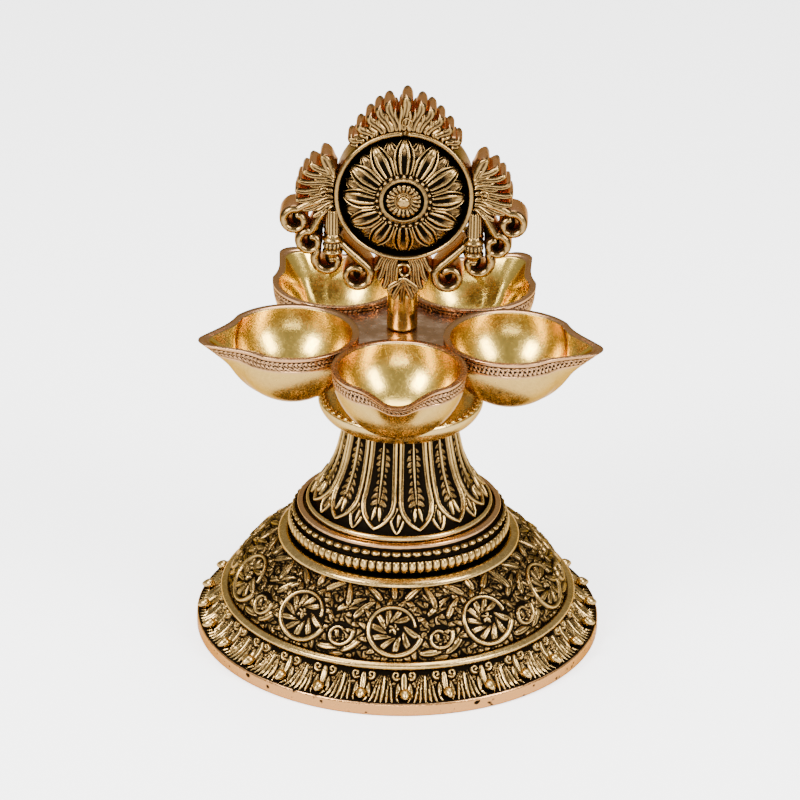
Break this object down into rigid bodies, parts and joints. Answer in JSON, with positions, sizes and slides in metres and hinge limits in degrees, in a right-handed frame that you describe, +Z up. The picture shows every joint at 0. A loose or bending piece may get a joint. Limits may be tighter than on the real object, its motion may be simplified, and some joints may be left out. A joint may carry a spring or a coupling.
{
  "type": "diya oil lamp",
  "caption": "Cast brass oil lamp: bell foot with relief scrolls, leaf-panelled stem, spouted bowls round a hub, and a flower crest that turns on a round peg.",
  "frame": {"origin": "middle of the circle that the foot stands on", "axes": "+Z up, -Y towards the front bowl's spout and the crest's front face"},
  "size_m": [0.123, 0.1245, 0.1756],
  "materials": {
    "antique_brass": "blackened in the recesses, rubbed bright on the high relief",
    "bowl_brass": "polished yellow inside, satin outside with a blackened band",
    "satin_brass": "satin, slightly pink, with casting pits",
    "zinc_steel": "zinc plated"
  },
  "bodies": {
    "lamp": {"base_dome": "antique_brass", "collar_ring": "antique_brass", "stem": "antique_brass", "drip_dish": "satin_brass", "hub": "satin_brass", "cup_front": "bowl_brass", "cup_right": "bowl_brass", "cup_back_right": "bowl_brass", "cup_back_left": "bowl_brass", "cup_left": "bowl_brass", "tie_rod": "zinc_steel", "bridge_washer": "zinc_steel", "lock_washer": "zinc_steel", "rod_nut": "zinc_steel"},
    "crest": {"crest_post": "antique_brass", "crest_ring": "antique_brass", "top_flames": "antique_brass", "wing_left": "antique_brass", "wing_right": "antique_brass", "torch_front_left": "antique_brass", "torch_front_right": "antique_brass", "torch_back_left": "antique_brass", "torch_back_right": "antique_brass", "lotus_front": "antique_brass", "lotus_back": "antique_brass", "rosette_front": "antique_brass", "rosette_back": "antique_brass", "centre_rivet": "antique_brass"}
  },
  "joints": [
    {"name": "crest_turn", "type": "hinge", "parent": "lamp", "child": "crest", "pos_m": [0, 0, 0.0994], "axis": [0, 0, 1], "continuous": true}
  ]
}
